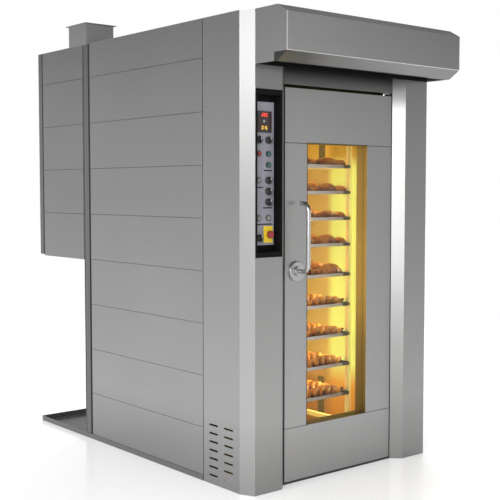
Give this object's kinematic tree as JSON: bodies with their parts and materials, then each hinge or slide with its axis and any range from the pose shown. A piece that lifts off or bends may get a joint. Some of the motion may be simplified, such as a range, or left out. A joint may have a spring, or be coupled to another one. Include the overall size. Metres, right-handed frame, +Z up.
{
  "type": "rotating rack oven",
  "caption": "Tall stainless rack oven: glazed door, steam hood, control recess, rear heat unit and flue, with a turning trolley of baking trays inside.",
  "frame": {"origin": "on the floor, midway between the side panels and midway between the hood's front and the base pan's rear end", "axes": "+Z up, +X to the right of someone facing the door, +Y from the door towards the back"},
  "size_m": [1.359, 2.386, 2.527],
  "materials": {
    "stainless": "satin brushed stainless sheet",
    "liner_steel": "bright stainless, warmed by heat",
    "polished_steel": "polished stainless",
    "rack_steel": "stainless tube",
    "gear_steel": "machined steel",
    "cast_iron": "rough iron",
    "machine_paint": "painted aluminium housing",
    "black_paint": "satin black",
    "plate_grey": "lavender grey enamel",
    "tray_aluminium": "dull",
    "brass": "machined",
    "glass": "clear toughened",
    "mineral_wool": "loose fibre",
    "gasket_rubber": "silicone",
    "wheel_rubber": "heat-proof tyre",
    "black_plastic": "fine grain",
    "display_black": "glossy",
    "red_plastic": "glossy",
    "green_plastic": "glossy",
    "yellow_plastic": "satin",
    "lens_white": "translucent",
    "bread": "baked crust",
    "lamp_glass": "lit frosted glass"
  },
  "bodies": {
    "cabinet": {"base_pan": "stainless", "black_frame": "black_paint", "left_side_panels": "stainless", "right_side_panels": "stainless", "left_front_column": "stainless", "right_front_column": "stainless", "rear_posts": "stainless", "roof_and_back_panels": "stainless", "hood": "stainless", "door_header": "stainless", "wall_insulation": "mineral_wool", "chamber_liner": "liner_steel", "air_duct_panels": "liner_steel", "steam_generator": "cast_iron", "chamber_lamps": "lamp_glass", "rear_casing_panels": "stainless", "heat_exchanger": "liner_steel", "fan_motor": "machine_paint", "flue_casing": "stainless", "service_inlets": "brass", "rotor_drive_unit": "machine_paint", "door_pivots": "polished_steel", "control_box": "black_plastic", "control_plate": "plate_grey", "display_module": "display_black", "control_bezels": "polished_steel", "pilot_lamps": "lens_white", "emergency_plate": "yellow_plastic"},
    "door": {"door_skin": "stainless", "door_frame": "liner_steel", "door_insulation": "mineral_wool", "window_glass": "glass", "door_gasket": "gasket_rubber", "handle_rosette": "polished_steel"},
    "handle": {"handle_lever": "polished_steel", "latch_cam": "gear_steel"},
    "rotor": {"turntable": "liner_steel", "drive_shaft": "gear_steel", "rack_frame": "rack_steel", "baking_trays": "tray_aluminium", "bread_load": "bread"},
    "pinion": {"drive_pinion": "gear_steel"},
    "fan": {"fan_impeller": "liner_steel"},
    "castor_front_left": {"castor_fork_front_left": "gear_steel"},
    "wheel_front_left": {"castor_wheel_front_left": "wheel_rubber"},
    "castor_front_right": {"castor_fork_front_right": "gear_steel"},
    "wheel_front_right": {"castor_wheel_front_right": "wheel_rubber"},
    "wheel_rear_left": {"castor_wheel_rear_left": "wheel_rubber"},
    "wheel_rear_right": {"castor_wheel_rear_right": "wheel_rubber"},
    "knob_upper_left_body": {"knob_upper_left": "black_plastic"},
    "knob_upper_right_body": {"knob_upper_right": "black_plastic"},
    "knob_steam_body": {"knob_steam": "black_plastic"},
    "knob_fan_body": {"knob_fan": "black_plastic"},
    "knob_light_body": {"knob_light": "black_plastic"},
    "knob_main_switch_body": {"knob_main_switch": "black_plastic"},
    "button_red_body": {"button_red": "red_plastic"},
    "button_green_upper_body": {"button_green_upper": "green_plastic"},
    "button_green_lower_body": {"button_green_lower": "green_plastic"},
    "set_button_body": {"set_button": "display_black"},
    "emergency_body": {"emergency_button": "red_plastic"}
  },
  "joints": [
    {"name": "door_hinge", "type": "hinge", "parent": "cabinet", "child": "door", "pos_m": [0.365, -0.882, 1], "axis": [0, 0, 1], "range_deg": [0, 100]},
    {"name": "handle_turn", "type": "hinge", "parent": "door", "child": "handle", "pos_m": [-0.318, -0.912, 1.106], "axis": [0, 1, 0], "range_deg": [0, 90]},
    {"name": "rack_rotation", "type": "hinge", "parent": "cabinet", "child": "rotor", "pos_m": [0, -0.2925, 0.5], "axis": [0, 0, 1], "continuous": true},
    {"name": "pinion_turn", "type": "hinge", "parent": "cabinet", "child": "pinion", "pos_m": [0.2, -0.2925, 2.13], "axis": [0, 0, 1], "continuous": true},
    {"name": "fan_spin", "type": "hinge", "parent": "cabinet", "child": "fan", "pos_m": [0, 0.29, 1.3], "axis": [0, 1, 0], "continuous": true},
    {"name": "castor_swivel_front_left", "type": "hinge", "parent": "rotor", "child": "castor_front_left", "pos_m": [-0.3155, -0.5875, 0.1343], "axis": [0, 0, 1], "continuous": true},
    {"name": "wheel_roll_front_left", "type": "hinge", "parent": "castor_front_left", "child": "wheel_front_left", "pos_m": [-0.3155, -0.5595, 0.0803], "axis": [1, 0, 0], "continuous": true},
    {"name": "castor_swivel_front_right", "type": "hinge", "parent": "rotor", "child": "castor_front_right", "pos_m": [0.3155, -0.5875, 0.1343], "axis": [0, 0, 1], "continuous": true},
    {"name": "wheel_roll_front_right", "type": "hinge", "parent": "castor_front_right", "child": "wheel_front_right", "pos_m": [0.3155, -0.5595, 0.0803], "axis": [1, 0, 0], "continuous": true},
    {"name": "wheel_roll_rear_left", "type": "hinge", "parent": "rotor", "child": "wheel_rear_left", "pos_m": [-0.3155, 0.0305, 0.0803], "axis": [1, 0, 0], "continuous": true},
    {"name": "wheel_roll_rear_right", "type": "hinge", "parent": "rotor", "child": "wheel_rear_right", "pos_m": [0.3155, 0.0305, 0.0803], "axis": [1, 0, 0], "continuous": true},
    {"name": "knob_upper_left_turn", "type": "hinge", "parent": "cabinet", "child": "knob_upper_left_body", "pos_m": [-0.577, -0.917, 1.772], "axis": [0, 1, 0], "range_deg": [0, 270]},
    {"name": "knob_upper_right_turn", "type": "hinge", "parent": "cabinet", "child": "knob_upper_right_body", "pos_m": [-0.514, -0.917, 1.772], "axis": [0, 1, 0], "range_deg": [0, 270]},
    {"name": "knob_steam_turn", "type": "hinge", "parent": "cabinet", "child": "knob_steam_body", "pos_m": [-0.514, -0.917, 1.572], "axis": [0, 1, 0], "range_deg": [0, 90]},
    {"name": "knob_fan_turn", "type": "hinge", "parent": "cabinet", "child": "knob_fan_body", "pos_m": [-0.514, -0.917, 1.517], "axis": [0, 1, 0], "range_deg": [0, 90]},
    {"name": "knob_light_turn", "type": "hinge", "parent": "cabinet", "child": "knob_light_body", "pos_m": [-0.514, -0.917, 1.463], "axis": [0, 1, 0], "range_deg": [0, 90]},
    {"name": "knob_main_switch_turn", "type": "hinge", "parent": "cabinet", "child": "knob_main_switch_body", "pos_m": [-0.572, -0.917, 1.285], "axis": [0, 1, 0], "range_deg": [0, 90]},
    {"name": "button_red_press", "type": "slide", "parent": "cabinet", "child": "button_red_body", "axis": [0, 1, 0], "range_m": [0, 0.004], "stiffness_N_per_m": 500},
    {"name": "button_green_upper_press", "type": "slide", "parent": "cabinet", "child": "button_green_upper_body", "axis": [0, 1, 0], "range_m": [0, 0.004], "stiffness_N_per_m": 500},
    {"name": "button_green_lower_press", "type": "slide", "parent": "cabinet", "child": "button_green_lower_body", "axis": [0, 1, 0], "range_m": [0, 0.004], "stiffness_N_per_m": 500},
    {"name": "set_button_press", "type": "slide", "parent": "cabinet", "child": "set_button_body", "axis": [0, 1, 0], "range_m": [0, 0.002], "stiffness_N_per_m": 500},
    {"name": "emergency_press", "type": "slide", "parent": "cabinet", "child": "emergency_body", "axis": [0, 1, 0], "range_m": [0, 0.005]}
  ],
  "couplings": [
    {"joint": "pinion_turn", "follows": "rack_rotation", "ratio": -4}
  ]
}
